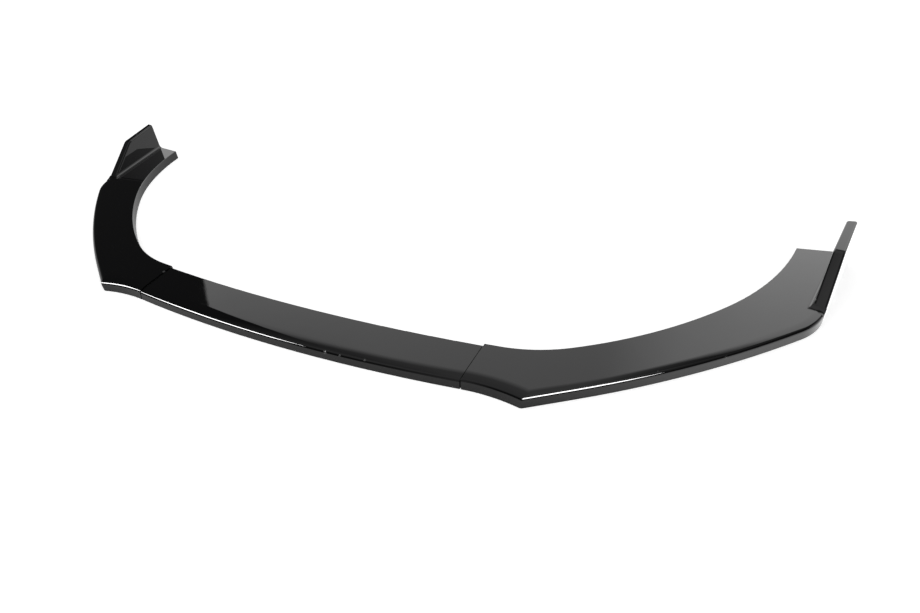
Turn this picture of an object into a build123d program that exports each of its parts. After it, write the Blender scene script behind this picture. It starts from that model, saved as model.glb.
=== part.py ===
"""Front splitter lip in three moulded pieces: a bowed centre and two side lips with upright end fins.

Millimetres. +X is the right-hand end seen from in front, -Y is the front of the car and +Z is up.
The origin is the middle of the lip's bounding box, on the plane that its lower rim stands on.
"""
from build123d import *
from math import atan, cos, degrees, hypot, radians, sin, sqrt, tan
import os

# Skin
wall = 3.0                  # thickness of every moulded skin
fit = 0.3                   # clearance between skins that slide into each other

# Section: flat top, gentle roll-off down to a crisp edge, wall down to the rim
height = 20.6               # flat top of the side lips above the lower rim
rim_land = 1.0              # upright band at the foot of the wall
front_lean = 9.0            # lean of the front wall, degrees back from upright
front_roll = 25.0           # how far the roll-off reaches in from the crisp front edge
front_drop = 2.2            # how far it falls to that edge
outer_lean = 1.0            # the same three along the outer edge
outer_roll = 17.0
outer_drop = 1.8
edge_round = 6.0            # rounding of the crisp edge
rear_round = 1.0            # rounding of the rear top edges and of the tail's end

# Plan of the centre, measured back from a line through both noses
seam_x = 359.0              # middle of the lip to each seam
seam_front = 5.0            # front edge at the seam, behind the nose line
seam_depth = 93.5           # front to back of a side lip at the seam
front_bow = 20.0            # bow of the front edge between the seams
rear_bow = 17.0             # bow of the rear edge between the seams

# Lap joint: the tongue of the centre runs under the side lip
lap_length = 40.0
seam_gap = 0.8              # open line between the front walls
seam_step = 2.0             # how far the side lips stand above the centre

# Plan of a side lip: front edge from nose to tail
nose_x = 464.0
nose_round = 10.0
outer_heading = 34.3        # direction of the outer edge as it leaves the nose, degrees from +X
outer_straight = 86.5
outer_radius = 1595.0
outer_turn = 13.9
corner_radius = 113.0
tail_heading = 83.2         # direction of the outer wall along the fin

# Plan of a side lip: rear edge from seam to tail
inner_straight = 26.0
hip_radius = 268.0
hip_turn = 25.5
arm_radius = 727.0
arm_turn = 21.6
tail_radius = 446.0
tail_end = 553.0            # outer corner of the tail behind the nose line
tail_skew = 7.5             # slant of the tail's end face, degrees from X

# Fin
fin_thickness = 17.0        # at the tail
fin_foot_thickness = 21.5   # at the foot of the leading edge
fin_tip_height = 86.5       # top rear corner above the rim
fin_bend_height = 81.0      # where the leading edge turns into the top edge
fin_top_length = 99.0       # tail end to that bend
fin_foot_length = 191.0     # tail end to the foot of the leading edge
fin_bend_round = 22.0
fin_outer_round = 4.0       # edge between the outer face and the leading and top faces
fin_inner_round = 4.5       # edge between the inner face and the leading and top faces
fin_flare = 8.0             # hollow rounding between the inner face and the skin
fin_foot_round = 30.0       # hollow rounding between the leading face and the skin

# Screws that hold each lap from below
boss_diameter = 9.0
screw_diameter = 4.0
screw_bite = 1.5            # how far the screw goes into the skin above its boss
screw_head_diameter = 8.0
screw_head_height = 2.6
screw_washer_diameter = 14.0
screw_washer_height = 1.2
screw_head_bevel = 0.9
screw_drive = 2.4           # width across the flats of the drive recess
screw_drive_depth = 1.6
screw_front = 30.0          # front screw behind the front edge at the seam
screw_pitch = 36.0          # front screw to rear screw

# Allowances for cutting and joining solids
spare = 40.0                # how far plan outlines run past a cut
lift = 4.0                  # how far cutters stand clear of a skin
merge = 1.5                 # how far an added solid runs into the one that carries it
sink = 0.05                 # how far the edge of a hollow rounding lies under the faces that it blends
foot_points = 7             # points along the foot of the fin's leading face
ON_FLOOR = (Align.CENTER, Align.CENTER, Align.MIN)

# Derived sizes
step = wall + fit           # a tongue sits this far inside a side lip
front_slope = 2 * atan(front_bow / seam_x)
seam_rear = seam_front + seam_depth
centre_rear = seam_rear - step
rear_slope = 2 * atan(rear_bow / seam_x)
tongue_top = height - step - fit
boss_end = tongue_top - wall - fit
lead_slope = (fin_bend_height - height) / (fin_foot_length - fin_top_length)
top_slope = (fin_tip_height - fin_bend_height) / fin_top_length
fin_swing = atan((fin_foot_thickness - fin_thickness) / fin_foot_length)
front_section = (front_lean, front_roll, front_drop)
outer_section = (outer_lean, outer_roll, outer_drop)
nose = Vector(nose_x, 0)


def heading(angle):
    """Unit vector in plan at an angle in degrees from +X."""
    return Vector(cos(radians(angle)), sin(radians(angle)))


def outer_edges():
    """Outer edge of the right side lip, from the nose to past the tail."""
    first = Line(nose, nose + heading(outer_heading) * outer_straight)
    sweep_back = JernArc(first @ 1, first % 1, outer_radius, outer_turn)
    corner = JernArc(sweep_back @ 1, sweep_back % 1, corner_radius,
                     tail_heading - outer_heading - outer_turn)
    reach = (tail_end - (corner @ 1).Y) / sin(radians(tail_heading))
    last = Line(corner @ 1, corner @ 1 + heading(tail_heading) * (reach + spare))
    return [first, sweep_back, corner, last]


outer_path = outer_edges()
tail_direction = heading(tail_heading)
tail_corner = outer_path[2] @ 1
tail_corner += tail_direction * ((tail_end - tail_corner.Y) / tail_direction.Y)
tail_normal = Vector(-sin(radians(tail_skew)), cos(radians(tail_skew)))
middle_y = (seam_front - front_bow + tail_corner.Y) / 2


def inner_edges():
    """Rear edge of the right side lip, from before the seam to past the tail."""
    along = Vector(cos(rear_slope), sin(rear_slope))
    seam_point = Vector(seam_x, seam_rear)
    first = Line(seam_point - along * spare, seam_point + along * inner_straight)
    hip = JernArc(first @ 1, first % 1, hip_radius, hip_turn)
    arm = JernArc(hip @ 1, hip % 1, arm_radius, arm_turn)
    turned = degrees(rear_slope) + hip_turn + arm_turn
    tail = JernArc(arm @ 1, arm % 1, tail_radius, 90 - turned)
    last = Line(tail @ 1, Vector((tail @ 1).X, tail_end + spare))
    return [first, hip, arm, tail, last]


def front_edges():
    """Front edge of the right side lip, from before the seam to the nose."""
    along = Vector(cos(front_slope), sin(front_slope))
    seam_point = Vector(seam_x, seam_front)
    first = Line(seam_point - along * spare, seam_point)
    dip = TangentArc(seam_point, nose, tangent=along)
    return [first, dip]


def strip_face(front, rear):
    """Face between two runs of edges drawn the same way, closed by a straight line at each end."""
    ends = [Line(front[0] @ 0, rear[0] @ 0), Line(front[-1] @ 1, rear[-1] @ 1)]
    return make_face(front + rear + ends)


def between(solid, low, high):
    """The part of a solid between two upright planes across X."""
    above = split(solid, bisect_by=Plane(origin=(low, 0, 0), z_dir=(1, 0, 0)), keep=Keep.TOP)
    return split(above, bisect_by=Plane(origin=(high, 0, 0), z_dir=(1, 0, 0)), keep=Keep.BOTTOM)


def side_outline():
    """Plan of the right side lip, over-long at the seam and at the tail."""
    face = strip_face(front_edges() + outer_path, inner_edges())
    tip = face.vertices().sort_by_distance(Vertex(nose_x, 0, 0))[0]
    return fillet(tip, nose_round)


def roll_crown(inset, crest, section):
    """Middle and radius of the roll-off's arc, x inward from the rim and y up."""
    lean, width, drop = section
    radius = (width ** 2 + drop ** 2) / (2 * drop)
    edge_x = inset / cos(radians(lean)) + (crest - drop - rim_land) * tan(radians(lean))
    return Vector(edge_x + width, crest - radius), radius


def roll_cutter(edges, inset, crest, section):
    """Solid outside the leaning wall and above the roll-off of a skin whose flat top is at crest."""
    path = Wire(edges)
    start = path @ 0
    along = path % 0
    plane = Plane(origin=(start.X, start.Y, 0), x_dir=(-along.Y, along.X, 0), z_dir=along)
    crown, radius = roll_crown(inset, crest, section)
    lean = radians(section[0])
    up_wall = Vector(sin(lean), cos(lean))
    inward = Vector(cos(lean), -sin(lean))
    foot = Vector(inset / cos(lean), rim_land)
    base = foot + inward * edge_round - crown
    climb = -base.dot(up_wall)
    climb += sqrt(climb ** 2 - base.dot(base) + (radius - edge_round) ** 2)
    middle = crown + base + up_wall * climb
    outward = (middle - crown).normalized()
    roll_start = crown + Vector(0, radius)
    roll_middle = crown + (outward + Vector(0, 1)).normalized() * radius
    roll_end = crown + outward * radius
    edge_middle = middle + (outward - inward).normalized() * edge_round
    wall_point = middle - inward * edge_round
    low = foot - up_wall * lift
    outline = [
        ThreePointArc(roll_start, roll_middle, roll_end),
        ThreePointArc(roll_end, edge_middle, wall_point),
        Polyline(wall_point, low, low - Vector(lift, 0), (low.X - lift, crest + lift),
                 roll_start + Vector(0, lift), roll_start),
    ]
    return sweep(plane * make_face(outline), path=path)


def run_past(edge):
    """Straight line that carries on from the end of an edge."""
    return Line(edge @ 1, edge @ 1 + (edge % 1) * spare)


def run_before(edge):
    """Straight line that leads up to the start of an edge."""
    return Line(edge @ 0 - (edge % 0) * spare, edge @ 0)


def side_cutters(inset, crest):
    """Roll-off along the front edge and along the outer edge, crossing in a mitre at the nose."""
    front = front_edges()
    front.append(run_past(front[-1]))
    outer = [run_before(outer_path[0])] + outer_path
    return roll_cutter(front, inset, crest, front_section) + roll_cutter(outer, inset, crest, outer_section)


def tail_plane(inset):
    """Plane of the tail's end face, moved forward by inset."""
    origin = tail_corner - tail_normal * inset
    return Plane(origin=(origin.X, origin.Y, 0), z_dir=tail_normal)


def tail_cut(solid, inset):
    """Cut a solid off at the tail's end face, moved forward by inset."""
    return split(solid, bisect_by=tail_plane(inset), keep=Keep.BOTTOM)


def rear_edges(skin):
    """Edges of the skin along its rear and up, over and down the tail's end face."""
    rear = Wire(inner_edges())
    chosen = []
    for edge in skin.edges():
        middle = edge @ 0.5
        on_tail = abs(tail_plane(0).to_local_coords(middle).Z) < sink
        on_rear = rear.distance_to(Vertex(middle.X, middle.Y, 0)) < sink
        if middle.Z > height - sink and (on_tail or on_rear):
            chosen.append(edge)
    return chosen


def fin_plane(depth):
    """Upright plane along the fin, depth inboard of its outer face, x forward from the tail corner."""
    inboard = Vector(-tail_direction.Y, tail_direction.X)
    origin = tail_corner + inboard * depth
    return Plane(origin=(origin.X, origin.Y, 0), x_dir=-tail_direction, z_dir=inboard)


def fin_inner_plane(inset):
    """Upright plane of the fin's inner face, moved outboard by inset, x forward from the tail."""
    side = fin_plane(fin_thickness)
    forward = side.x_dir * cos(fin_swing) + side.z_dir * sin(fin_swing)
    inboard = side.z_dir * cos(fin_swing) - side.x_dir * sin(fin_swing)
    return Plane(origin=side.origin - inboard * inset, x_dir=forward, z_dir=inboard)


def fin_profile(inset):
    """Side view of the fin, drawn in by inset, from past the tail to where it runs out in the front wall."""
    lead_drop = inset * hypot(1, lead_slope)
    top_drop = inset * hypot(1, top_slope)
    bend_x = fin_top_length - (lead_drop - top_drop) / (lead_slope - top_slope)
    bend_z = fin_tip_height - top_drop - top_slope * bend_x
    low_x = fin_foot_length + (height - lead_drop) / lead_slope
    back_z = fin_tip_height - top_drop + top_slope * spare
    face = make_face(Polyline((-spare, 0), (low_x, 0), (bend_x, bend_z), (-spare, back_z), close=True))
    bend = face.vertices().sort_by_distance(Vertex(bend_x, bend_z, 0))[0]
    return fillet(bend, fin_bend_round - inset)


def fin_wedge(inset):
    """Fin with sharp edges, drawn in by inset and over-long at the tail."""
    wide = extrude(fin_plane(inset) * fin_profile(inset), fin_foot_thickness + spare)
    return split(wide, bisect_by=fin_inner_plane(inset), keep=Keep.BOTTOM)


def crown_edges(blade, side):
    """Edges along the leading and top faces of the fin that lie in the plane of one of its sides."""
    edges = blade.edges().filter_by(Axis.Z, reverse=True)
    edges = edges.filter_by(lambda edge: edge.center().Z > height + lift)
    return edges.filter_by(lambda edge: abs(side.to_local_coords(edge.center()).Z) < merge)


def fin_blade():
    """Fin with rounded edges along its leading and top faces."""
    blade = tail_cut(fin_wedge(0), 0)
    blade = fillet(crown_edges(blade, fin_plane(0)), fin_outer_round)
    return fillet(crown_edges(blade, fin_inner_plane(0)), fin_inner_round)


def flare_strip():
    """Hollow rounding along the foot of the fin's inner face, over-long at both ends."""
    low = Vector(fin_flare, height - sink)
    high = Vector(-sink, height + fin_flare)
    hollow = [
        TangentArc(low, high, tangent=(-1, 0)),
        Polyline(high, high - Vector(merge, 0), (-merge, height - merge), (fin_flare, height - merge), low),
    ]
    side = fin_inner_plane(0)
    across = Plane(origin=side.origin + side.x_dir * (fin_foot_length + spare),
                   x_dir=side.z_dir, z_dir=-side.x_dir)
    return extrude(across * make_face(hollow), fin_foot_length + 2 * spare)


def foot_face():
    """Section of the hollow rounding between the fin's leading face and the skin, corner at the origin."""
    slope = atan(lead_slope)
    reach = fin_foot_round * tan(slope / 2)
    inward = Vector(-sin(slope), -cos(slope))
    low = Vector(reach, -sink)
    high = Vector(-cos(slope), sin(slope)) * reach + inward * sink
    hollow = [
        TangentArc(low, high, tangent=(-1, 0)),
        Polyline(high, high + inward * merge, inward * merge, (reach, -merge), low),
    ]
    return make_face(hollow)


def foot_crease():
    """Points along the line where the fin's leading face meets the skin, in the plane of the fin's outer face."""
    points = []
    crown, radius = roll_crown(0, height, outer_section)
    for n in range(foot_points):
        depth = -merge + (fin_foot_thickness + merge) * n / (foot_points - 1)
        inside = max(crown.X - depth, 0)
        drop = radius - sqrt(radius ** 2 - inside ** 2)
        points.append(Vector(fin_foot_length + drop / lead_slope, height - drop, depth))
    return points


def foot_run():
    """That rounding along the foot of the leading face, following the skin's roll-off."""
    crease = foot_crease()
    start = fin_plane(0) * Pos(*crease[0]) * foot_face()
    return sweep(start, path=fin_plane(0) * Spline(crease), normal=fin_plane(0).z_dir)


def foot_corner():
    """Its end, where it runs out in the hollow rounding along the fin's inner face."""
    end = fin_plane(0) * Pos(*foot_crease()[-1]) * foot_face()
    lowered = Pos(-fin_plane(0).z_dir * sink - Vector(0, 0, sink)) * flare_strip()
    return extrude(end, fin_flare) & lowered


def fin_solid():
    """Fin with its foot blended into the skin."""
    shadow = extrude(fin_plane(0) * fin_profile(0), fin_foot_thickness + fin_flare + lift)
    return fin_blade() + foot_run() + tail_cut(flare_strip() & shadow, 0) + foot_corner()


def boss_places(level):
    """Middle of each lap screw at the right seam, at a level above the rim."""
    x = seam_x + lap_length / 2
    return [Pos(x, seam_front + screw_front + n * screw_pitch, level) for n in range(2)]


def side_lip():
    """Right side lip: skin, closed tail, hollow fin and the bosses for the lap screws."""
    plan = side_outline()
    tall = extrude(plan, fin_tip_height + lift)
    skin = extrude(plan, height) - side_cutters(0, height)
    skin = tail_cut(skin, 0) + (fin_solid() & tall)
    skin = fillet(rear_edges(skin), rear_round)
    hollow_plan = offset(plan, -wall, kind=Kind.INTERSECTION)
    core = extrude(hollow_plan, height - wall) - side_cutters(wall, height - wall)
    fin_core = fin_wedge(wall) & extrude(hollow_plan, fin_tip_height)
    lip = skin - tail_cut(core, wall) - tail_cut(fin_core, wall)
    boss_length = height - wall - boss_end
    for place in boss_places(boss_end):
        lip += place * Cylinder(boss_diameter / 2, boss_length + merge, align=ON_FLOOR)
        lip -= place * Cylinder(screw_diameter / 2, boss_length + screw_bite, align=ON_FLOOR)
    return split(lip, bisect_by=Plane(origin=(seam_x, 0, 0), z_dir=(1, 0, 0)), keep=Keep.TOP)


def bow(end_y, depth):
    """Arc between the two seams that bows forward by depth."""
    return ThreePointArc((-seam_x, end_y), (0, end_y - depth), (seam_x, end_y))


def bow_block(inset, half_length, crest):
    """Bowed middle of the centre lip, drawn in by inset, between two upright planes."""
    face = strip_face([bow(seam_front + inset, front_bow)], [bow(centre_rear - inset, rear_bow)])
    front = bow(seam_front, front_bow)
    path = [run_before(front), front, run_past(front)]
    block = extrude(face, crest) - roll_cutter(path, inset, crest, front_section)
    return between(block, -half_length, half_length)


def tongue_block(inset, start, end, crest):
    """Straight run of the centre's section past the right seam, between two upright planes."""
    front = Vector(cos(front_slope), sin(front_slope))
    rear = Vector(cos(rear_slope), sin(rear_slope))
    front_point = Vector(seam_x, seam_front)
    rear_point = Vector(seam_x, centre_rear)
    edge = Line(front_point - front * spare, front_point + front * (lap_length + spare))
    front_in = Vector(-front.Y, front.X) * inset
    rear_in = Vector(rear.Y, -rear.X) * (inset - wall)
    front_line = Line(edge @ 0 + front_in, edge @ 1 + front_in)
    rear_line = Line(rear_point - rear * spare + rear_in, rear_point + rear * (lap_length + spare) + rear_in)
    block = extrude(strip_face([front_line], [rear_line]), crest)
    return between(block - roll_cutter([edge], inset, crest, front_section), start, end)


def centre_lip():
    """Bowed centre with a tongue at each end that slides into the side lips."""
    crest = height - seam_step
    shoulder = seam_x - seam_gap
    skin = bow_block(0, shoulder, crest)
    rear_edge = skin.edges().sort_by_distance(Vertex(0, centre_rear - rear_bow, crest))[0]
    skin = fillet(rear_edge, rear_round)
    core = bow_block(wall, shoulder - wall, crest - wall)
    tongue_end = seam_x + lap_length
    tongue = tongue_block(step, shoulder - wall, tongue_end, tongue_top)
    tongue_core = tongue_block(step + wall, shoulder - 2 * wall, tongue_end + lift, tongue_top - wall)
    holes = [place * Cylinder(boss_diameter / 2 + fit, height, align=ON_FLOOR) for place in boss_places(0)]
    lip = skin + tongue + mirror(tongue, about=Plane.YZ) - core
    for cut in [tongue_core] + holes:
        lip = lip - cut - mirror(cut, about=Plane.YZ)
    return lip


def lap_screw():
    """Pan-head screw with a washer under its head, driven upwards, its bearing face at z = 0."""
    grip = height - wall - boss_end + screw_bite - fit
    shank = Cylinder(screw_diameter / 2, grip, align=ON_FLOOR)
    washer = Cylinder(screw_washer_diameter / 2, screw_washer_height, align=ON_FLOOR)
    head = Cylinder(screw_head_diameter / 2, screw_head_height, align=ON_FLOOR)
    head = chamfer(head.edges().group_by(Axis.Z)[0], screw_head_bevel)
    recess = extrude(RegularPolygon(screw_drive / 2, 6, major_radius=False), screw_drive_depth)
    turned_end = Pos(0, 0, -screw_washer_height - screw_head_height)
    return shank + Pos(0, 0, -screw_washer_height) * washer + turned_end * (head - recess)


def lap_screws():
    """The screws of both laps, each against the end of its boss."""
    right = [place * lap_screw() for place in boss_places(boss_end)]
    return Compound(children=right + [mirror(screw, about=Plane.YZ) for screw in right])


right_lip = side_lip()
nodes = {
    "centre_lip": centre_lip(),
    "right_lip": right_lip,
    "left_lip": mirror(right_lip, about=Plane.YZ),
    "lap_screws": lap_screws(),
}

os.makedirs("parts", exist_ok=True)
for name, solid in nodes.items():
    export_step(Pos(0, -middle_y, 0) * solid, f"parts/{name}.step")
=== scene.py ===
"""Front splitter lip in gloss black moulded plastic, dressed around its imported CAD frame. Metres."""

import math

import bmesh
import bpy
from mathutils import Matrix, Vector
from mathutils.bvhtree import BVHTree


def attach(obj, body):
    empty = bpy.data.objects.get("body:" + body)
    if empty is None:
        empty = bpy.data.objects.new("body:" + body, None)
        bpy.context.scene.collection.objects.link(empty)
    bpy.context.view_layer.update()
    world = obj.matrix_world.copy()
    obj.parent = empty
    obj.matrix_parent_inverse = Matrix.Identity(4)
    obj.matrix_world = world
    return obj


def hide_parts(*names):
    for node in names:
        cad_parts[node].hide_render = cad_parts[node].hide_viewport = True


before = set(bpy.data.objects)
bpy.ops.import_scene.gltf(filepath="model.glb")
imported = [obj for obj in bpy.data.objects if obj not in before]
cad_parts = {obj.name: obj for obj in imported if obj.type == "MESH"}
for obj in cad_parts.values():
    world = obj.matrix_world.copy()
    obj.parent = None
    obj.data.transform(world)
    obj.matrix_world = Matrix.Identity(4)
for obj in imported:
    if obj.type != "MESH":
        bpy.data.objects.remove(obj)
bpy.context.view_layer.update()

# Camera
camera_place = Vector((0.7847, -0.9481, 0.7798))
camera_turn = 0.537643      # round the upright axis, from straight in front towards the right
camera_tilt = 0.652085      # looking down
camera_roll = -0.122690
focal_pixels = 700.0
image_width = 920
sensor_width = 36.0

# Studio
floor_reach = 30.0
floor_white = 0.85
floor_glow = 0.60           # light of its own that the floor shows to the camera
mirrored_glow = 0.12        # the same for reflections
# Painted light: the floor's glow that only reflections see rises towards the right and towards the back, a
# painted pool of light
right_painted_pool = (0.45, 0.75, 0.90)         # between these two places in X the mirrored floor gains this level
rear_painted_pool = (0.0, 0.2, 0.25)            # the same in Y
room_glow = 0.55            # soft light from all round that falls on matt surfaces
lamp_place = Vector((0.0, 0.2, 2.4))
lamp_width = 2.0
lamp_power = 6.0

# Strip lights that draw the highlight along the edge, by direction in degrees:
# two turns from straight back to the left, then two rises from the floor
left_strip = ((107, 138), (26, 38))
right_strip = ((-142, -113), (30, 58))
card_distance = 6.0
card_level = 36.0

# Wide bright wall at the back, in pairs of a direction and a level: up to its top, and the dim part above it
wall_by_rise = [(0, 1.75), (20, 1.75), (38, 1.15), (45, 1.1)]
wall_by_turn = [(2, 1.75), (8, 1.6), (16, 1.0), (40, 1.0), (52, 0.82)]
wall_top_by_turn = [(-12, 47), (-4, 45), (3, 43), (8, 43), (16, 46), (41, 43), (54, 39)]
wall_top_blur = 6.5
above_by_turn = [(-30, 0.08), (-8, 0.10), (3, 0.25), (14, 0.55),
                 (30, 0.45), (42, 0.36), (48, 0.28), (54, 0.19)]
ceiling_rises = (58.0, 67.0)
ceiling_level = 0.6

# Dark drapes at both sides, each with a lit gap, and the plain wall behind the camera
left_edge = (53.65, 53.9)               # turns between which the back wall gives way to the left drape
left_edge_lean = (30.45, 32.9, 0.65)    # that edge leans between two rises, by a turn
left_by_rise = [(0, 0.03), (40, 0.03), (56, 0.35), (90, 0.55)]
left_gap_by_rise = [(0, 0.6), (24, 0.6), (32, 0.05), (40, 0.03), (56, 0.35), (90, 0.55)]
left_gap_by_turn = [(68, 0), (76, 1), (96, 1), (102, 0)]
right_edge_by_turn = [(-45, 1), (-30, 0)]
right_by_rise = [(0, 0.04), (42, 0.04), (48, 0.2), (65, 0.2), (79, 0.55)]
right_gap_by_rise = [(0, 0.6), (22, 0.6), (30, 0.04), (42, 0.04), (48, 0.2), (65, 0.2), (79, 0.55)]
right_gap_by_turn = [(-80, 0), (-74, 1), (-52, 1), (-46, 0)]
front_by_rise = [(0, 0.1), (10, 0.3), (45, 0.3), (70, 0.65)]
front_by_turn = [(-164, 1), (-152, 0), (152, 0), (164, 1)]

# Section of the lips, as in the solids: flat top, roll-off, rounded edge, leaning wall and a land at the rim
rim_land = 0.001
edge_round = 0.006
front_section = (9.0, 0.025, 0.0022)    # lean of the wall in degrees, width of the roll-off and its drop
outer_section = (1.0, 0.017, 0.0018)
centre_crest = 0.0186
side_crest = 0.0206

# Plan of the edges, as in the solids
seam_point = Vector((0.359, -0.264))
front_bow = 0.020
nose = Vector((0.464, -0.269))
outer_heading = 34.3
outer_straight = 0.0865
outer_radius = 1.595
outer_turn = 13.9
corner_radius = 0.113
tail_heading = 83.2

seam_end = 0.3582           # where the centre's skin ends and its tongue goes on
seam_groove = 0.0008        # how far the dark line at each seam is opened, on either side of it
seam_blend = 0.003          # length of the skin that gives way for it
skin_match = 2e-5           # how near to the rule of the section a corner lies to take its normal
skin_turn = 40.0            # how far that normal may turn from its face, in degrees
crease = 28.0               # faces that meet at more than this many degrees keep a hard edge
join_gap = 1e-6             # corners as near as this are one
look_reach = 0.3            # how far a face looks ahead for its own shell

# Finishes
black = (0.0035, 0.0035, 0.0038)
gloss_rough = (0.014, 0.032)
ripple_height = 0.00012
ripple_scale = 16.0
peel_height = 0.000003
peel_scale = 420.0
haze_scale = 22.0
scratch_stretch = (7.0, 900.0, 900.0)
scratch_turn = 0.5
scratch_rough = 0.05
dust_scale = 1500.0
dust_patch_scale = 9.0
dust_weight = 0.35
# Grey and roughness of the dust, the pale spots and the painted glint at the left seam
mark_grey = (0.30, 0.30, 0.30)
mark_rough = 0.35
fleck_scale = 700.0
satin_dark = (0.010, 0.010, 0.011)
satin_pale = (0.016, 0.016, 0.017)
satin_rough = (0.36, 0.52)
grain_height = 0.00002
grain_scale = 2200.0
flow_scale = 14.0
zinc_dark = (0.50, 0.51, 0.54)
zinc_pale = (0.66, 0.66, 0.67)
zinc_rough = (0.24, 0.38)
cloud_scale = 380.0
plating_height = 0.00001
plating_scale = 5200.0
# Pale spots along the centre's front edge and the right lip's outer edge; the last one, at the left seam's
# rear end, is a painted glint
pale_spots = [                  # place of each small mark and how far it reaches
    ((0.108, -0.2790, 0.0145), 0.0040),
    ((0.138, -0.2775, 0.0145), 0.0030),
    ((0.186, -0.2725, 0.0145), 0.0035),
    ((0.638, -0.1370, 0.0170), 0.0035),
    ((0.7275, -0.0675, 0.0170), 0.0035),
    ((-0.3614, -0.1929, 0.0195), 0.0032),
]

# Lap screws, driven upwards at the corners of a rectangle
screw_sizes = {
    "across": 0.758,
    "along": 0.036,
    "middle": -0.216,
    "level": 0.0137,
    "washer radius": 0.0070,
    "washer height": 0.0012,
    "head radius": 0.0040,
    "head height": 0.0026,
    "head bevel": 0.0009,
    "drive width": 0.0024,
    "drive depth": 0.0016,
    "shank radius": 0.0020,
    "shank length": 0.0051,
    "thread depth": 0.0003,
    "thread pitch": 0.0007,
}
head_sides = 48
shank_sides = 32
drive_sides = 6
thread_sides = 3
thread_steps = 28
spin_seed = 4


def shader_nodes(material):
    """Emptied node tree of a material, with its output node."""
    material.use_nodes = True
    tree = material.node_tree
    tree.nodes.clear()
    output = tree.nodes.new("ShaderNodeOutputMaterial")
    return tree, output


def math_node(tree, operation, first, second=None):
    """Math node on one or two sockets or numbers."""
    node = tree.nodes.new("ShaderNodeMath")
    node.operation = operation
    for socket, value in zip(node.inputs, (first, second)):
        if isinstance(value, bpy.types.NodeSocket):
            tree.links.new(value, socket)
        elif value is not None:
            socket.default_value = value
    return node.outputs[0]


def blend_node(tree, weight, low, high):
    """Mix of two sockets or numbers by a weight socket."""
    node = tree.nodes.new("ShaderNodeMix")
    tree.links.new(weight, node.inputs[0])
    for socket, value in zip((node.inputs[2], node.inputs[3]), (low, high)):
        if isinstance(value, bpy.types.NodeSocket):
            tree.links.new(value, socket)
        else:
            socket.default_value = value
    return node.outputs[0]


def ramp_node(tree, socket, stops, low, high):
    """Levels at places along a socket that runs from low to high."""
    node = tree.nodes.new("ShaderNodeValToRGB")
    spread = tree.nodes.new("ShaderNodeMapRange")
    spread.inputs["From Min"].default_value = low
    spread.inputs["From Max"].default_value = high
    tree.links.new(socket, spread.inputs["Value"])
    tree.links.new(spread.outputs["Result"], node.inputs["Fac"])
    points = node.color_ramp.elements
    while len(points) < len(stops):
        points.new(1.0)
    for point, (place, level) in zip(points, stops):
        point.position = (place - low) / (high - low)
        point.color = (level, level, level, 1.0)
    return node.outputs["Color"]


def range_node(tree, value, low, high, to_low, to_high):
    """Value between low and high mapped onto another range."""
    node = tree.nodes.new("ShaderNodeMapRange")
    node.inputs["From Min"].default_value = low
    node.inputs["From Max"].default_value = high
    node.inputs["To Min"].default_value = to_low
    node.inputs["To Max"].default_value = to_high
    tree.links.new(value, node.inputs["Value"])
    return node.outputs["Result"]


def add_camera():
    """Camera at the viewing angle, with its slight roll."""
    back = Vector((math.sin(camera_turn) * math.cos(camera_tilt),
                   -math.cos(camera_turn) * math.cos(camera_tilt),
                   math.sin(camera_tilt)))
    right = Vector((math.cos(camera_turn), math.sin(camera_turn), 0.0))
    up = back.cross(right)
    across = right * math.cos(camera_roll) + up * math.sin(camera_roll)
    upward = up * math.cos(camera_roll) - right * math.sin(camera_roll)
    axes = Matrix((across, upward, back)).transposed().to_4x4()
    data = bpy.data.cameras.new("camera")
    data.sensor_fit = "HORIZONTAL"
    data.sensor_width = sensor_width
    data.lens = focal_pixels * sensor_width / image_width
    data.clip_end = 100.0
    camera = bpy.data.objects.new("camera", data)
    camera.matrix_world = Matrix.Translation(camera_place) @ axes
    bpy.context.scene.collection.objects.link(camera)
    bpy.context.scene.camera = camera


def studio_level(tree):
    """Brightness of the studio that the gloss mirrors, by direction in degrees: a wide bright wall at the
    back, dark drapes at both sides and a plain wall behind the camera."""
    parts = tree.nodes.new("ShaderNodeSeparateXYZ")
    tree.links.new(tree.nodes.new("ShaderNodeTexCoord").outputs["Generated"], parts.inputs[0])
    to_left = math_node(tree, "MULTIPLY", parts.outputs["X"], -1.0)
    turn = math_node(tree, "DEGREES", math_node(tree, "ARCTAN2", to_left, parts.outputs["Y"]))
    rise = math_node(tree, "DEGREES", math_node(tree, "ARCSINE", parts.outputs["Z"]))

    def by_turn(stops):
        return ramp_node(tree, turn, stops, -180.0, 180.0)

    def by_rise(stops):
        return ramp_node(tree, rise, stops, 0.0, 90.0)

    wall = math_node(tree, "MULTIPLY", by_rise(wall_by_rise), by_turn(wall_by_turn))
    over = math_node(tree, "SUBTRACT", rise, by_turn(wall_top_by_turn))
    past_top = range_node(tree, over, 0.0, wall_top_blur, 0.0, 1.0)
    back = blend_node(tree, past_top, wall, by_turn(above_by_turn))
    back = blend_node(tree, range_node(tree, rise, *ceiling_rises, 0.0, 1.0), back, ceiling_level)

    left = blend_node(tree, by_turn(left_gap_by_turn), by_rise(left_by_rise), by_rise(left_gap_by_rise))
    right = blend_node(tree, by_turn(right_gap_by_turn), by_rise(right_by_rise), by_rise(right_gap_by_rise))

    lean_low, lean_high, lean_turn = left_edge_lean
    past_edge = math_node(tree, "SUBTRACT", turn, range_node(tree, rise, lean_low, lean_high, 0.0, lean_turn))
    level = blend_node(tree, range_node(tree, past_edge, *left_edge, 0.0, 1.0), back, left)
    level = blend_node(tree, by_turn(right_edge_by_turn), level, right)
    return blend_node(tree, by_turn(front_by_turn), level, by_rise(front_by_rise))


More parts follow.
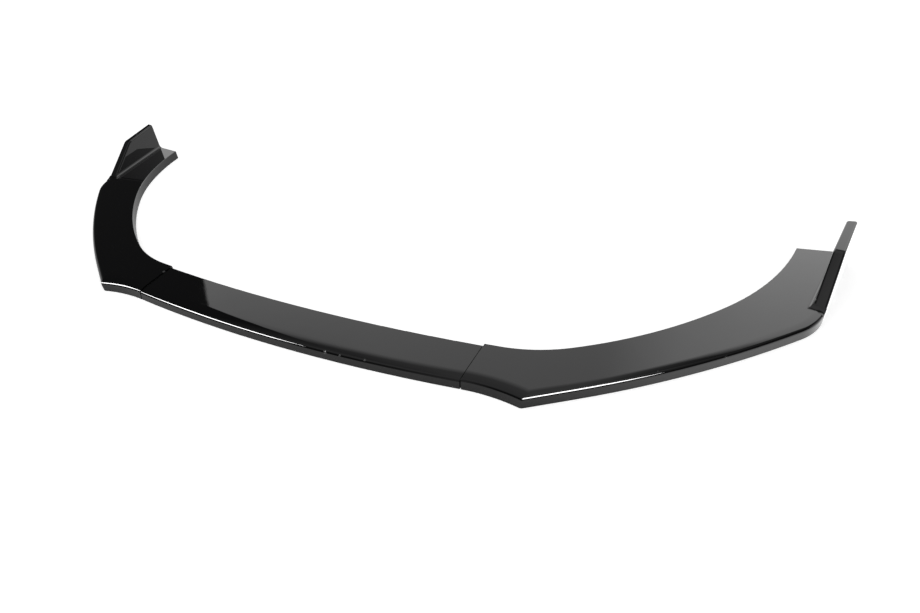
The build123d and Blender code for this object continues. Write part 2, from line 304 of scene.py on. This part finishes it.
def add_room():
    """White surroundings to look at, a softer light on matt surfaces, and the studio for the gloss."""
    world = bpy.data.worlds.new("room")
    world.use_nodes = True
    tree = world.node_tree
    background = tree.nodes["Background"]
    background.inputs["Color"].default_value = (1.0, 1.0, 1.0, 1.0)
    path = tree.nodes.new("ShaderNodeLightPath")
    seen = math_node(tree, "ADD", path.outputs["Is Camera Ray"], path.outputs["Is Transmission Ray"])
    level = blend_node(tree, seen, room_glow, 1.0)
    level = blend_node(tree, path.outputs["Is Glossy Ray"], level, studio_level(tree))
    tree.links.new(level, background.inputs["Strength"])
    bpy.context.scene.world = world


def flat_card(name, corners, material):
    """Stage card with four corners."""
    mesh = bpy.data.meshes.new(name)
    mesh.from_pydata([tuple(corner) for corner in corners], [], [(0, 1, 2, 3)])
    mesh.materials.append(material)
    card = bpy.data.objects.new(name, mesh)
    bpy.context.scene.collection.objects.link(card)
    return card


def add_floor():
    """Pale floor that glows to the camera but keeps the lip's shadow, and shows reflections a painted pool of
    light that brightens to the right and towards the back.
    """
    material = bpy.data.materials.new("floor_paper")
    tree, output = shader_nodes(material)
    paper = tree.nodes.new("ShaderNodeBsdfDiffuse")
    paper.inputs["Color"].default_value = (floor_white, floor_white, floor_white, 1.0)
    glow = tree.nodes.new("ShaderNodeEmission")
    both = tree.nodes.new("ShaderNodeAddShader")
    path = tree.nodes.new("ShaderNodeLightPath")
    seen = math_node(tree, "ADD", path.outputs["Is Camera Ray"], path.outputs["Is Transmission Ray"])
    place = tree.nodes.new("ShaderNodeSeparateXYZ")
    tree.links.new(tree.nodes.new("ShaderNodeTexCoord").outputs["Object"], place.inputs[0])
    # painted pool of light: the glow shown to reflections rises to the right and towards the back
    low, high, extra = right_painted_pool
    painted_pool = range_node(tree, place.outputs["X"], low, high, mirrored_glow, mirrored_glow + extra)
    low, high, extra = rear_painted_pool
    painted_pool = math_node(tree, "ADD", painted_pool, range_node(tree, place.outputs["Y"], low, high, 0.0, extra))
    level = math_node(tree, "MULTIPLY", path.outputs["Is Glossy Ray"], painted_pool)
    tree.links.new(blend_node(tree, seen, level, floor_glow), glow.inputs["Strength"])
    tree.links.new(paper.outputs[0], both.inputs[0])
    tree.links.new(glow.outputs[0], both.inputs[1])
    tree.links.new(both.outputs[0], output.inputs["Surface"])
    corners = [(x * floor_reach, y * floor_reach, 0.0) for x, y in ((-1, -1), (1, -1), (1, 1), (-1, 1))]
    flat_card("floor", corners, material)


def direction(turn, rise):
    """Unit vector: turn from straight back towards the left, rise above the floor, in degrees."""
    turn = math.radians(turn)
    rise = math.radians(rise)
    return Vector((-math.sin(turn) * math.cos(rise), math.cos(turn) * math.cos(rise), math.sin(rise)))


def add_strip_light(name, turns, rises):
    """Bright card that only the gloss mirrors, between two turns and two rises."""
    material = bpy.data.materials.new(name)
    tree, output = shader_nodes(material)
    glow = tree.nodes.new("ShaderNodeEmission")
    glow.inputs["Strength"].default_value = card_level
    tree.links.new(glow.outputs[0], output.inputs["Surface"])
    places = [(turns[0], rises[0]), (turns[1], rises[0]), (turns[1], rises[1]), (turns[0], rises[1])]
    card = flat_card(name, [direction(*place) * card_distance for place in places], material)
    card.visible_camera = False
    card.visible_diffuse = False
    card.visible_transmission = False
    card.visible_volume_scatter = False
    card.visible_shadow = False


def add_key_lamp():
    """Large soft lamp overhead that gives the floor its faint shadow."""
    data = bpy.data.lights.new("key_lamp", "AREA")
    data.shape = "RECTANGLE"
    data.size = lamp_width
    data.size_y = lamp_width
    data.energy = lamp_power
    lamp = bpy.data.objects.new("key_lamp", data)
    to_origin = (-lamp_place).to_track_quat("-Z", "Y").to_matrix().to_4x4()
    lamp.matrix_world = Matrix.Translation(lamp_place) @ to_origin
    lamp.visible_camera = False
    lamp.visible_glossy = False
    bpy.context.scene.collection.objects.link(lamp)


def heading_vector(degrees):
    """Unit vector in plan at an angle from +X."""
    return Vector((math.cos(math.radians(degrees)), math.sin(math.radians(degrees))))


def leftward(vector):
    """Plan vector turned a quarter turn to the left, which is inward of every edge."""
    return Vector((-vector.y, vector.x))


def straight_run(start, along):
    """Rule of a straight edge: plan point to its distance inward and the outward direction."""
    inward = leftward(along)
    return lambda point: ((point - start).dot(inward), -inward)


def curved_run(start, along, radius):
    """Rule of an edge that bends to the left by a radius, or to the right by a negative one."""
    middle = start + leftward(along) * radius

    def rule(point):
        spoke = point - middle
        reach = spoke.length
        if radius > 0:
            return radius - reach, spoke / reach
        return reach + radius, -spoke / reach

    return rule


def centre_runs():
    """Edge rules of the centre lip, each with its section."""
    radius = (seam_point.x ** 2 + front_bow ** 2) / (2 * front_bow)
    front = curved_run(Vector((0.0, seam_point.y - front_bow)), Vector((1.0, 0.0)), radius)
    return [(front, front_section)]


def side_runs():
    """Edge rules of the right side lip, each with its section."""
    slope = 2 * math.atan(front_bow / seam_point.x)
    chord = nose - seam_point
    dip_turn = slope - math.atan2(chord.y, chord.x)
    dip_radius = chord.length / (2 * math.sin(dip_turn))
    dip = curved_run(seam_point, Vector((math.cos(slope), math.sin(slope))), -dip_radius)
    first = straight_run(nose, heading_vector(outer_heading))
    bend_start = nose + heading_vector(outer_heading) * outer_straight
    sweep_back = curved_run(bend_start, heading_vector(outer_heading), outer_radius)
    turned = outer_heading + outer_turn
    bend_end = bend_start + leftward(heading_vector(outer_heading)) * outer_radius
    bend_end -= leftward(heading_vector(turned)) * outer_radius
    corner = curved_run(bend_end, heading_vector(turned), corner_radius)
    tail_start = bend_end + leftward(heading_vector(turned)) * corner_radius
    tail_start -= leftward(heading_vector(tail_heading)) * corner_radius
    tail = straight_run(tail_start, heading_vector(tail_heading))
    return [(dip, front_section)] + [(run, outer_section) for run in (first, sweep_back, corner, tail)]


def section_normals(section, crest, place):
    """Normals at a place in the section, x inward and y up: of its top, roll-off, round, wall or land."""
    lean, width, drop = section
    lean = math.radians(lean)
    radius = (width ** 2 + drop ** 2) / (2 * drop)
    crown = Vector(((crest - drop - rim_land) * math.tan(lean) + width, crest - radius))
    up_wall = Vector((math.sin(lean), math.cos(lean)))
    inward = Vector((math.cos(lean), -math.sin(lean)))
    foot = Vector((0.0, rim_land))
    base = foot + inward * edge_round - crown
    climb = -base.dot(up_wall)
    climb += math.sqrt(climb ** 2 - base.dot(base) + (radius - edge_round) ** 2)
    middle = crown + base + up_wall * climb
    fits = []
    if abs(place.y - crest) < skin_match and place.x > crown.x - skin_match:
        fits.append(Vector((0.0, 1.0)))
    if abs((place - crown).length - radius) < skin_match and middle.x < place.x < crown.x + skin_match:
        fits.append((place - crown).normalized())
    if abs((place - middle).length - edge_round) < skin_match and place.x < middle.x + edge_round / 2:
        fits.append((place - middle).normalized())
    if abs((place - foot).dot(inward)) < skin_match:
        fits.append(-inward)
    if abs(place.x) < skin_match:
        fits.append(Vector((-1.0, 0.0)))
    return fits


def skin_normal(point, face_normal, runs, crest):
    """Normal that the rule of the lip gives at a corner, or None off the swept skin."""
    best = None
    nearest = math.cos(math.radians(skin_turn))
    for rule, section in runs:
        inward_distance, outward = rule(point.xy)
        for flat in section_normals(section, crest, Vector((inward_distance, point.z))):
            normal = Vector((-outward.x * flat.x, -outward.y * flat.x, flat.y)).normalized()
            if normal.dot(face_normal) > nearest:
                best = normal
                nearest = normal.dot(face_normal)
    return best


def merged_copy(node_name):
    """Copy of a solid's mesh with its loose triangles joined and flat faces shading flat."""
    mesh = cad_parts[node_name].data.copy()
    work = bmesh.new()
    work.from_mesh(mesh)
    bmesh.ops.remove_doubles(work, verts=work.verts, dist=join_gap)
    for face in work.faces:
        face.smooth = True
    work.to_mesh(mesh)
    work.free()
    attribute = mesh.attributes.get("custom_normal")
    if attribute:
        mesh.attributes.remove(attribute)
    mesh.set_sharp_from_angle(angle=math.radians(crease))
    holder = bpy.data.objects.new(node_name + "_holder", mesh)
    bpy.context.scene.collection.objects.link(holder)
    weigh = holder.modifiers.new("flat_faces", "WEIGHTED_NORMAL")
    weigh.mode = "FACE_AREA"
    weigh.keep_sharp = True
    result = bpy.data.meshes.new_from_object(holder.evaluated_get(bpy.context.evaluated_depsgraph_get()))
    bpy.data.objects.remove(holder)
    return result


def faces_inside(mesh):
    """Faces that lie inside the shell or look down: their own shell is straight in front of them."""
    work = bmesh.new()
    work.from_mesh(mesh)
    tree = BVHTree.FromBMesh(work)
    inside = set()
    for face in work.faces:
        start = face.calc_center_median() + face.normal * skin_match
        hit = tree.ray_cast(start, face.normal, look_reach)[0]
        if face.normal.z < -0.5 or hit:
            inside.add(face.index)
    work.free()
    return inside


def opened_seam(place):
    """Place on a lip with the line at the seam opened a little, as moulded ends are eased."""
    reach = abs(place.x)
    if abs(reach - seam_point.x) < skin_match:
        reach += seam_groove
    elif seam_end - seam_blend < reach < seam_end + skin_match:
        reach -= seam_groove * (reach - seam_end + seam_blend) / seam_blend
    return Vector((math.copysign(reach, place.x), place.y, place.z))


def moulded_lip(name, node_name, runs, crest, side, materials):
    """Lip with the exact normals of its swept skin, gloss outside and satin inside."""
    mesh = merged_copy(node_name)
    mirror = Vector((side, 1.0, 1.0))
    normals = [entry.vector.copy() for entry in mesh.corner_normals]
    for face in mesh.polygons:
        face_normal = face.normal * mirror
        for corner in face.loop_indices:
            point = mesh.vertices[mesh.loops[corner].vertex_index].co * mirror
            exact = skin_normal(point, face_normal, runs, crest)
            if exact:
                normals[corner] = exact * mirror
    hidden = faces_inside(mesh)
    if node_name == "centre_lip":
        hidden.update(face.index for face in mesh.polygons if abs(face.center.x) > seam_end)
    for vertex in mesh.vertices:
        vertex.co = opened_seam(vertex.co)
    mesh.normals_split_custom_set(normals)
    mesh.materials.clear()
    for material in materials:
        mesh.materials.append(material)
    for index in hidden:
        mesh.polygons[index].material_index = 1
    lip = bpy.data.objects.new(name, mesh)
    bpy.context.scene.collection.objects.link(lip)
    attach(lip, "root")
    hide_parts(node_name)
    return lip


def noise_node(tree, vector, scale, detail, stretch=None):
    """Noise pattern on a vector socket, stretched along its axes where that is given."""
    if stretch:
        turn = tree.nodes.new("ShaderNodeMapping")
        turn.inputs["Scale"].default_value = stretch
        turn.inputs["Rotation"].default_value = (0.0, 0.0, scratch_turn)
        tree.links.new(vector, turn.inputs["Vector"])
        vector = turn.outputs["Vector"]
    node = tree.nodes.new("ShaderNodeTexNoise")
    node.inputs["Scale"].default_value = scale
    node.inputs["Detail"].default_value = detail
    tree.links.new(vector, node.inputs["Vector"])
    return node.outputs["Fac"]


def bump_node(tree, height, distance, under=None):
    """Bump by a height socket, over the bump below it."""
    node = tree.nodes.new("ShaderNodeBump")
    node.inputs["Strength"].default_value = 1.0
    node.inputs["Distance"].default_value = distance
    tree.links.new(height, node.inputs["Height"])
    if under:
        tree.links.new(under, node.inputs["Normal"])
    return node.outputs["Normal"]


def colour_mix(tree, weight, low, high):
    """Colour between two others by a weight socket."""
    node = tree.nodes.new("ShaderNodeMix")
    node.data_type = "RGBA"
    tree.links.new(weight, node.inputs[0])
    node.inputs[6].default_value = (*low, 1.0)
    node.inputs[7].default_value = (*high, 1.0)
    return node.outputs[2]


def pale_spots_and_glint(tree, place):
    """Weight of the small pale spots along the front edge, and of the painted glint at the left seam's rear
    end: broken flecks within reach of each place.
    """
    flecks = range_node(tree, noise_node(tree, place, fleck_scale, 2.0), 0.50, 0.58, 0.0, 1.0)
    total = None
    for spot, reach in pale_spots:
        apart = tree.nodes.new("ShaderNodeVectorMath")
        apart.operation = "DISTANCE"
        apart.inputs[1].default_value = spot
        tree.links.new(place, apart.inputs[0])
        near = range_node(tree, apart.outputs["Value"], reach * 0.4, reach, 1.0, 0.0)
        total = near if total is None else math_node(tree, "MAXIMUM", total, near)
    return math_node(tree, "MULTIPLY", total, flecks)


def upward_faces(tree):
    """Weight of the surfaces that look up, where dust settles."""
    surface = tree.nodes.new("ShaderNodeNewGeometry")
    parts = tree.nodes.new("ShaderNodeSeparateXYZ")
    tree.links.new(surface.outputs["Normal"], parts.inputs[0])
    return range_node(tree, parts.outputs["Z"], 0.5, 0.9, 0.0, 1.0)


def gloss_black():
    """Gloss black moulded plastic: slow ripple and fine orange peel, hairline scratches, dust, pale spots and
    a painted glint.
    """
    material = bpy.data.materials.new("gloss_black")
    tree, output = shader_nodes(material)
    place = tree.nodes.new("ShaderNodeTexCoord").outputs["Object"]
    skin = tree.nodes.new("ShaderNodeBsdfPrincipled")
    skin.inputs["IOR"].default_value = 1.54
    ripple = bump_node(tree, noise_node(tree, place, ripple_scale, 1.0), ripple_height)
    peel = bump_node(tree, noise_node(tree, place, peel_scale, 1.0), peel_height, ripple)
    tree.links.new(peel, skin.inputs["Normal"])
    specks = range_node(tree, noise_node(tree, place, dust_scale, 1.0), 0.74, 0.80, 0.0, 1.0)
    patches = range_node(tree, noise_node(tree, place, dust_patch_scale, 3.0), 0.42, 0.68, 0.0, 1.0)
    dust = math_node(tree, "MULTIPLY", math_node(tree, "MULTIPLY", specks, patches), upward_faces(tree))
    # pale spots near the front edge, and a painted glint at the left seam's rear end, lighten the black
    # together with the dust
    spot_weight = pale_spots_and_glint(tree, place)
    dust_spots_and_glint = math_node(tree, "MAXIMUM", math_node(tree, "MULTIPLY", dust, dust_weight), spot_weight)
    tree.links.new(colour_mix(tree, dust_spots_and_glint, black, mark_grey), skin.inputs["Base Color"])
    haze = range_node(tree, noise_node(tree, place, haze_scale, 4.0), 0.35, 0.75, *gloss_rough)
    hairs = noise_node(tree, place, 1.0, 2.0, scratch_stretch)
    hairs = range_node(tree, hairs, 0.69, 0.73, 0.0, scratch_rough)
    rough = math_node(tree, "ADD", haze, hairs)
    rough = math_node(tree, "ADD", rough, math_node(tree, "MULTIPLY", dust_spots_and_glint, mark_rough))
    tree.links.new(rough, skin.inputs["Roughness"])
    tree.links.new(skin.outputs[0], output.inputs["Surface"])
    return material


def satin_black():
    """Satin black of the mould's inner side, with a fine spark grain and paler flow marks."""
    material = bpy.data.materials.new("satin_black")
    tree, output = shader_nodes(material)
    place = tree.nodes.new("ShaderNodeTexCoord").outputs["Object"]
    skin = tree.nodes.new("ShaderNodeBsdfPrincipled")
    skin.inputs["IOR"].default_value = 1.5
    grain = noise_node(tree, place, grain_scale, 2.0)
    tree.links.new(bump_node(tree, grain, grain_height), skin.inputs["Normal"])
    flow = range_node(tree, noise_node(tree, place, flow_scale, 3.0), 0.35, 0.7, 0.0, 1.0)
    tree.links.new(colour_mix(tree, flow, satin_dark, satin_pale), skin.inputs["Base Color"])
    tree.links.new(range_node(tree, grain, 0.3, 0.7, *satin_rough), skin.inputs["Roughness"])
    tree.links.new(skin.outputs[0], output.inputs["Surface"])
    return material


def bright_zinc():
    """Zinc-plated steel of the screws, faintly clouded."""
    material = bpy.data.materials.new("bright_zinc")
    tree, output = shader_nodes(material)
    place = tree.nodes.new("ShaderNodeTexCoord").outputs["Object"]
    metal = tree.nodes.new("ShaderNodeBsdfPrincipled")
    metal.inputs["Metallic"].default_value = 1.0
    cloud = noise_node(tree, place, cloud_scale, 3.0)
    weight = range_node(tree, cloud, 0.35, 0.65, 0.0, 1.0)
    tree.links.new(colour_mix(tree, weight, zinc_dark, zinc_pale), metal.inputs["Base Color"])
    tree.links.new(range_node(tree, cloud, 0.3, 0.7, *zinc_rough), metal.inputs["Roughness"])
    plating = bump_node(tree, noise_node(tree, place, plating_scale, 1.0), plating_height)
    tree.links.new(plating, metal.inputs["Normal"])
    tree.links.new(metal.outputs[0], output.inputs["Surface"])
    return material


def grow(tree, kind, **settings):
    """Geometry node with its inputs set to numbers or linked, by name with underscores for spaces."""
    node = tree.nodes.new(kind)
    for name, value in settings.items():
        socket = node.inputs[name.replace("_", " ")]
        if isinstance(value, bpy.types.NodeSocket):
            tree.links.new(value, socket)
        else:
            socket.default_value = value
    return node


def halved(tree, value):
    """Half of a socket's number."""
    return math_node(tree, "MULTIPLY", value, 0.5)


def upward(tree, height):
    """Vector straight up by a socket's number."""
    return grow(tree, "ShaderNodeCombineXYZ", Z=height).outputs[0]


def moved(tree, mesh, offset):
    """Mesh moved by a vector socket."""
    return grow(tree, "GeometryNodeTransform", Geometry=mesh, Translation=offset).outputs[0]


def screw_tree(material):
    """Node tree for pan-head screws at the corners of a rectangle, driven upwards from their bearing face."""
    tree = bpy.data.node_groups.new("lap_screw_rows", "GeometryNodeTree")
    for name in screw_sizes:
        tree.interface.new_socket(name, in_out="INPUT", socket_type="NodeSocketFloat")
    tree.interface.new_socket("screws", in_out="OUTPUT", socket_type="NodeSocketGeometry")
    size = tree.nodes.new("NodeGroupInput").outputs
    output = tree.nodes.new("NodeGroupOutput")

    washer_low = math_node(tree, "MULTIPLY", size["washer height"], -1.0)
    head_low = math_node(tree, "SUBTRACT", washer_low, size["head height"])
    washer = grow(tree, "GeometryNodeMeshCylinder", Vertices=head_sides, Radius=size["washer radius"],
                  Depth=size["washer height"]).outputs["Mesh"]
    washer = moved(tree, washer, upward(tree, halved(tree, washer_low)))
    bevel = size["head bevel"]
    band = math_node(tree, "SUBTRACT", size["head height"], bevel)
    band_middle = math_node(tree, "SUBTRACT", washer_low, halved(tree, band))
    head_side = grow(tree, "GeometryNodeMeshCylinder", Vertices=head_sides, Radius=size["head radius"],
                     Depth=band)
    head_side = moved(tree, head_side.outputs["Mesh"], upward(tree, band_middle))
    top_radius = math_node(tree, "SUBTRACT", size["head radius"], bevel)
    head_top = grow(tree, "GeometryNodeMeshCone", Vertices=head_sides, Radius_Top=size["head radius"],
                    Radius_Bottom=top_radius, Depth=bevel)
    head_top = moved(tree, head_top.outputs["Mesh"], upward(tree, head_low))
    head = grow(tree, "GeometryNodeJoinGeometry")
    for piece in (head_side, head_top):
        tree.links.new(piece, head.inputs[0])
    drive_radius = math_node(tree, "DIVIDE", size["drive width"], math.sqrt(3.0))
    drive = grow(tree, "GeometryNodeMeshCylinder", Vertices=drive_sides, Radius=drive_radius,
                 Depth=math_node(tree, "MULTIPLY", size["drive depth"], 2.0))
    drive = moved(tree, drive.outputs["Mesh"], upward(tree, head_low))
    socket_head = tree.nodes.new("GeometryNodeMeshBoolean")
    socket_head.operation = "DIFFERENCE"
    tree.links.new(head.outputs[0], socket_head.inputs["Mesh 1"])
    tree.links.new(drive, socket_head.inputs["Mesh 2"])

    core_radius = math_node(tree, "SUBTRACT", size["shank radius"], size["thread depth"])
    core = grow(tree, "GeometryNodeMeshCylinder", Vertices=shank_sides, Radius=core_radius,
                Depth=size["shank length"])
    core = moved(tree, core.outputs["Mesh"], upward(tree, halved(tree, size["shank length"])))
    turns = math_node(tree, "DIVIDE", size["shank length"], size["thread pitch"])
    run = math_node(tree, "SUBTRACT", size["shank length"], size["thread pitch"])
    ridge_radius = math_node(tree, "MULTIPLY", size["thread depth"], 2.0 / 3.0)
    helix_radius = math_node(tree, "SUBTRACT", size["shank radius"], ridge_radius)
    helix = grow(tree, "GeometryNodeCurveSpiral", Resolution=thread_steps, Rotations=turns,
                 Start_Radius=helix_radius, End_Radius=helix_radius, Height=run)
    ridge = grow(tree, "GeometryNodeCurvePrimitiveCircle", Resolution=thread_sides, Radius=ridge_radius)
    thread = grow(tree, "GeometryNodeCurveToMesh", Curve=helix.outputs["Curve"],
                  Profile_Curve=ridge.outputs["Curve"], Fill_Caps=True)
    thread = moved(tree, thread.outputs["Mesh"], upward(tree, halved(tree, size["thread pitch"])))

    screw = grow(tree, "GeometryNodeJoinGeometry")
    for piece in (washer, socket_head.outputs["Mesh"], core, thread):
        tree.links.new(piece, screw.inputs[0])
    rows = grow(tree, "GeometryNodeMeshGrid", Size_X=size["across"], Size_Y=size["along"],
                Vertices_X=2, Vertices_Y=2)
    middle = grow(tree, "ShaderNodeCombineXYZ", Y=size["middle"], Z=size["level"]).outputs[0]
    places = moved(tree, rows.outputs["Mesh"], middle)
    spin = tree.nodes.new("FunctionNodeRandomValue")
    spin.data_type = "FLOAT"
    spin.inputs[2].default_value = 0.0
    spin.inputs[3].default_value = math.tau
    spin.inputs["Seed"].default_value = spin_seed
    turned = grow(tree, "ShaderNodeCombineXYZ", Z=spin.outputs[1]).outputs[0]
    copies = grow(tree, "GeometryNodeInstanceOnPoints", Points=places, Instance=screw.outputs[0],
                  Rotation=turned)
    real = grow(tree, "GeometryNodeRealizeInstances", Geometry=copies.outputs[0])
    coated = grow(tree, "GeometryNodeSetMaterial", Geometry=real.outputs[0], Material=material)
    tree.links.new(coated.outputs[0], output.inputs[0])
    return tree


def threaded_screws():
    """The four lap screws, with washer, drive recess and thread."""
    material = bright_zinc()
    holder = bpy.data.objects.new("screw_holder", bpy.data.meshes.new("screw_holder"))
    bpy.context.scene.collection.objects.link(holder)
    rows = holder.modifiers.new("rows", "NODES")
    rows.node_group = screw_tree(material)
    for item in rows.node_group.interface.items_tree:
        if item.in_out == "INPUT":
            rows[item.identifier] = screw_sizes[item.name]
    mesh = bpy.data.meshes.new_from_object(holder.evaluated_get(bpy.context.evaluated_depsgraph_get()))
    bpy.data.objects.remove(holder)
    mesh.shade_smooth()
    mesh.set_sharp_from_angle(angle=math.radians(crease))
    screws = bpy.data.objects.new("threaded_screws", mesh)
    bpy.context.scene.collection.objects.link(screws)
    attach(screws, "root")
    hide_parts("lap_screws")


bpy.context.scene.view_settings.view_transform = "Standard"
add_camera()
add_room()
add_floor()
add_key_lamp()
add_strip_light("strip_left", *left_strip)
add_strip_light("strip_right", *right_strip)

lip_finish = [gloss_black(), satin_black()]
moulded_lip("centre_skin", "centre_lip", centre_runs(), centre_crest, 1.0, lip_finish)
moulded_lip("right_skin", "right_lip", side_runs(), side_crest, 1.0, lip_finish)
moulded_lip("left_skin", "left_lip", side_runs(), side_crest, -1.0, lip_finish)
threaded_screws()
